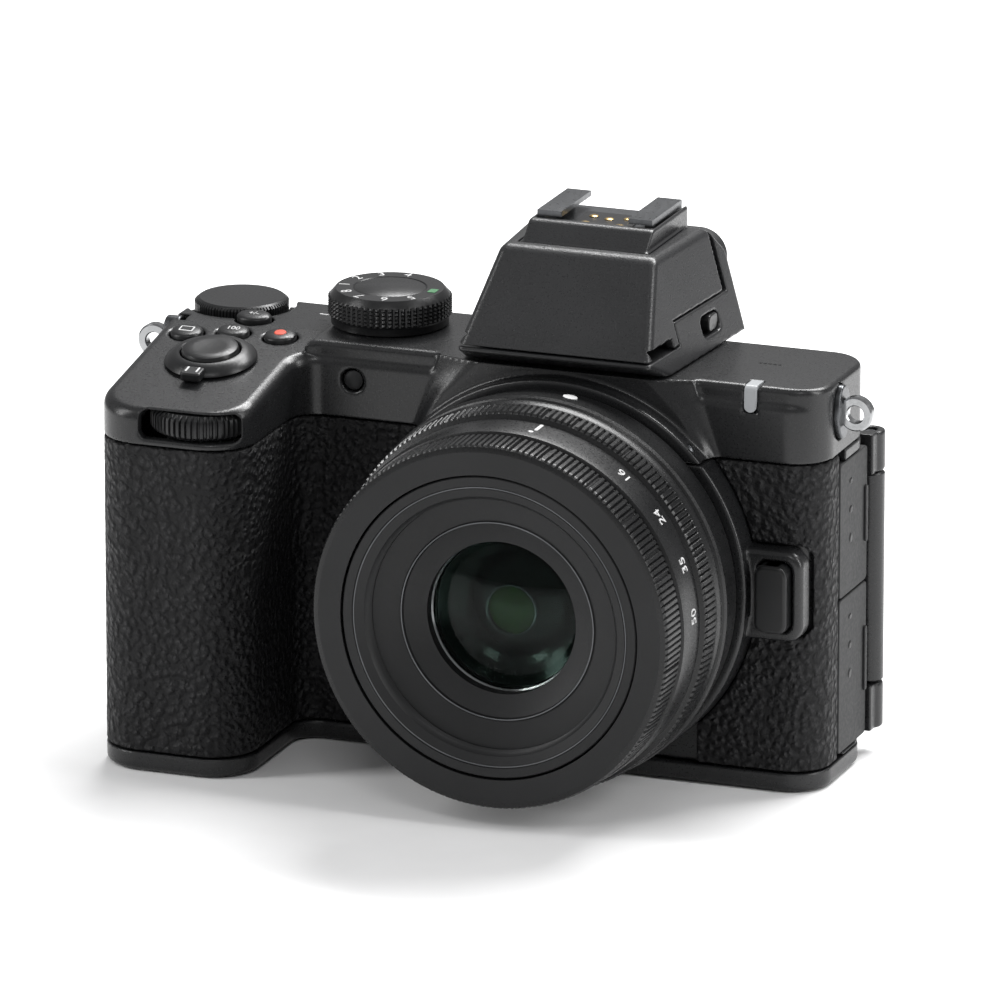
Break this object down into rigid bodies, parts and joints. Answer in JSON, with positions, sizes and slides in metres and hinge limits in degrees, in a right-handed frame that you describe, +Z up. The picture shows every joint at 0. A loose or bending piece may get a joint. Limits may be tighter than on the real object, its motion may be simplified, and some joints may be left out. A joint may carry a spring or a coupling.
{
  "type": "mirrorless camera",
  "caption": "Compact interchangeable-lens camera with a deep hand grip, viewfinder hump with pop-up flash, hinged rear monitor and collapsible zoom lens.",
  "frame": {"origin": "on the base plane, below the optical axis and in the plane of the image sensor", "axes": "+X towards the side with the ports, -Y out of the lens along the optical axis, +Z up"},
  "size_m": [0.1374, 0.076, 0.0968],
  "materials": {
    "satin_black": "fine-grained satin moulded plastic",
    "leather_black": "leather-grained black rubber",
    "rubber_black": "smooth matt rubber",
    "knob_black": "satin black control plastic",
    "lens_black": "satin black anodised look",
    "chrome": "bright plated metal",
    "steel": "dark nickel-plated steel",
    "coated_glass": "multi-coated optical glass, green tint",
    "clear_glass": "clear moulded window",
    "display_glass": "black display cover glass",
    "circuit_board": "green solder mask",
    "magnesium": "cast magnesium alloy",
    "pack_plastic": "grey matt plastic",
    "lamp_plastic": "milky translucent light guide"
  },
  "bodies": {
    "body": {"chassis": "magnesium", "front_shell": "satin_black", "rear_shell": "satin_black", "top_cover": "satin_black", "bottom_plate": "satin_black", "grip_rubber": "leather_black", "front_leather": "leather_black", "thumb_rest": "leather_black", "viewfinder_housing": "satin_black", "hot_shoe": "steel", "eyecup": "rubber_black", "eyepiece_lens": "clear_glass", "mount_ring": "chrome", "contact_block": "knob_black", "sensor_unit": "circuit_board", "shutter_unit": "knob_black", "main_board": "circuit_board", "tripod_socket": "steel", "battery": "pack_plastic", "memory_card": "pack_plastic", "strap_lug_left": "chrome", "strap_lug_right": "chrome", "tally_light": "lamp_plastic", "focus_lamp": "coated_glass", "monitor_hinge_pin": "steel"},
    "shutter_button": {"shutter_button": "knob_black"},
    "power_switch": {"power_switch": "knob_black"},
    "record_button": {"record_button": "knob_black"},
    "iso_button": {"iso_button": "knob_black"},
    "picture_button": {"picture_button": "knob_black"},
    "exposure_button": {"exposure_button": "knob_black"},
    "mode_dial": {"mode_dial": "knob_black"},
    "rear_dial": {"rear_dial": "knob_black"},
    "front_dial": {"front_dial": "knob_black"},
    "flash_release": {"flash_release": "knob_black"},
    "diopter_dial": {"diopter_dial": "knob_black"},
    "multi_selector": {"multi_selector": "knob_black"},
    "ok_button": {"ok_button": "knob_black"},
    "ael_button": {"ael_button": "knob_black"},
    "display_button": {"display_button": "knob_black"},
    "info_button": {"info_button": "knob_black"},
    "zoom_in_button": {"zoom_in_button": "knob_black"},
    "zoom_out_button": {"zoom_out_button": "knob_black"},
    "menu_button": {"menu_button": "knob_black"},
    "playback_button": {"playback_button": "knob_black"},
    "delete_button": {"delete_button": "knob_black"},
    "lens_release": {"lens_release": "knob_black"},
    "upper_port_cover": {"upper_port_cover": "rubber_black"},
    "lower_port_cover": {"lower_port_cover": "rubber_black"},
    "battery_door": {"battery_door": "satin_black"},
    "flash": {"flash_head": "satin_black", "flash_window": "clear_glass"},
    "monitor": {"monitor_frame": "satin_black", "monitor_glass": "display_glass"},
    "lens": {"lens_barrel": "lens_black", "rear_glass": "coated_glass"},
    "zoom_ring": {"zoom_ring": "lens_black"},
    "control_ring": {"control_ring": "lens_black"},
    "inner_barrel": {"inner_barrel": "lens_black", "front_glass": "coated_glass"}
  },
  "joints": [
    {"name": "shutter_press", "type": "slide", "parent": "body", "child": "shutter_button", "axis": [0, 0.1676, -0.9859], "range_m": [0, 0.0012], "stiffness_N_per_m": 400},
    {"name": "power_turn", "type": "hinge", "parent": "body", "child": "power_switch", "pos_m": [-0.0638, -0.0166, 0.06958], "axis": [0, -0.1676, 0.9859], "range_deg": [0, 35]},
    {"name": "record_press", "type": "slide", "parent": "body", "child": "record_button", "axis": [0, 0.1676, -0.9859], "range_m": [0, 0.0006], "stiffness_N_per_m": 300},
    {"name": "iso_press", "type": "slide", "parent": "body", "child": "iso_button", "axis": [0, 0.1676, -0.9859], "range_m": [0, 0.0006], "stiffness_N_per_m": 300},
    {"name": "picture_press", "type": "slide", "parent": "body", "child": "picture_button", "axis": [0, 0.1676, -0.9859], "range_m": [0, 0.0006], "stiffness_N_per_m": 300},
    {"name": "exposure_press", "type": "slide", "parent": "body", "child": "exposure_button", "axis": [0, 0.1676, -0.9859], "range_m": [0, 0.0006], "stiffness_N_per_m": 300},
    {"name": "mode_turn", "type": "hinge", "parent": "body", "child": "mode_dial", "pos_m": [-0.039, 0.0061, 0.0733], "axis": [0, 0, 1], "continuous": true},
    {"name": "rear_dial_turn", "type": "hinge", "parent": "body", "child": "rear_dial", "pos_m": [-0.0693, 0.0115, 0.0706], "axis": [0, 0, 1], "continuous": true},
    {"name": "front_dial_turn", "type": "hinge", "parent": "body", "child": "front_dial", "pos_m": [-0.06, -0.0291, 0.0611], "axis": [0, 0, 1], "continuous": true},
    {"name": "flash_lift", "type": "hinge", "parent": "body", "child": "flash", "pos_m": [0, 0.0173, 0.0906], "axis": [-1, 0, 0], "range_deg": [0, 70]},
    {"name": "flash_release_slide", "type": "slide", "parent": "body", "child": "flash_release", "axis": [0, -1, 0], "range_m": [0, 0.0026], "stiffness_N_per_m": 200},
    {"name": "diopter_turn", "type": "hinge", "parent": "body", "child": "diopter_dial", "pos_m": [-0.0185, 0.0185, 0.0768], "axis": [1, 0, 0], "range_deg": [-120, 120]},
    {"name": "selector_tilt", "type": "hinge", "parent": "body", "child": "multi_selector", "pos_m": [-0.0485, 0.0168, 0.0385], "axis": [1, 0, 0], "range_deg": [-2.5, 2.5], "stiffness_Nm_per_rad": 0.05},
    {"name": "ok_press", "type": "slide", "parent": "body", "child": "ok_button", "axis": [0, -1, 0], "range_m": [0, 0.0006], "stiffness_N_per_m": 300},
    {"name": "ael_press", "type": "slide", "parent": "body", "child": "ael_button", "axis": [0, -1, 0], "range_m": [0, 0.0006], "stiffness_N_per_m": 300},
    {"name": "display_press", "type": "slide", "parent": "body", "child": "display_button", "axis": [0, -1, 0], "range_m": [0, 0.0006], "stiffness_N_per_m": 300},
    {"name": "info_press", "type": "slide", "parent": "body", "child": "info_button", "axis": [0, -1, 0], "range_m": [0, 0.0006], "stiffness_N_per_m": 300},
    {"name": "zoom_in_press", "type": "slide", "parent": "body", "child": "zoom_in_button", "axis": [0, -1, 0], "range_m": [0, 0.0006], "stiffness_N_per_m": 300},
    {"name": "zoom_out_press", "type": "slide", "parent": "body", "child": "zoom_out_button", "axis": [0, -1, 0], "range_m": [0, 0.0006], "stiffness_N_per_m": 300},
    {"name": "menu_press", "type": "slide", "parent": "body", "child": "menu_button", "axis": [0, -1, 0], "range_m": [0, 0.0006], "stiffness_N_per_m": 300},
    {"name": "playback_press", "type": "slide", "parent": "body", "child": "playback_button", "axis": [0, -1, 0], "range_m": [0, 0.0006], "stiffness_N_per_m": 300},
    {"name": "delete_press", "type": "slide", "parent": "body", "child": "delete_button", "axis": [0, -1, 0], "range_m": [0, 0.0006], "stiffness_N_per_m": 300},
    {"name": "lens_release_press", "type": "slide", "parent": "body", "child": "lens_release", "axis": [0, 1, 0], "range_m": [0, 0.002], "stiffness_N_per_m": 400},
    {"name": "upper_port_open", "type": "hinge", "parent": "body", "child": "upper_port_cover", "pos_m": [0.047, 0.0006, 0.045], "axis": [0, 0, -1], "range_deg": [0, 110]},
    {"name": "lower_port_open", "type": "hinge", "parent": "body", "child": "lower_port_cover", "pos_m": [0.047, 0.0006, 0.018], "axis": [0, 0, -1], "range_deg": [0, 110]},
    {"name": "battery_door_open", "type": "hinge", "parent": "body", "child": "battery_door", "pos_m": [-0.0526, -0.014, 0], "axis": [0, -1, 0], "range_deg": [0, 95]},
    {"name": "monitor_swing", "type": "hinge", "parent": "body", "child": "monitor", "pos_m": [0.0459, 0.0197, 0.032], "axis": [0, 0, -1], "range_deg": [0, 180]},
    {"name": "lens_turn", "type": "hinge", "parent": "body", "child": "lens", "pos_m": [0, -0.016, 0.0366], "axis": [0, 1, 0], "range_deg": [0, 60]},
    {"name": "zoom_turn", "type": "hinge", "parent": "lens", "child": "zoom_ring", "pos_m": [0, -0.03, 0.0366], "axis": [0, -1, 0], "range_deg": [0, 85]},
    {"name": "barrel_extend", "type": "slide", "parent": "lens", "child": "inner_barrel", "axis": [0, -1, 0], "range_m": [0, 0.022]},
    {"name": "control_turn", "type": "hinge", "parent": "lens", "child": "control_ring", "pos_m": [0, -0.045, 0.0366], "axis": [0, -1, 0], "continuous": true}
  ],
  "couplings": [
    {"joint": "barrel_extend", "follows": "zoom_turn", "m_per_rad": 0.014829}
  ]
}
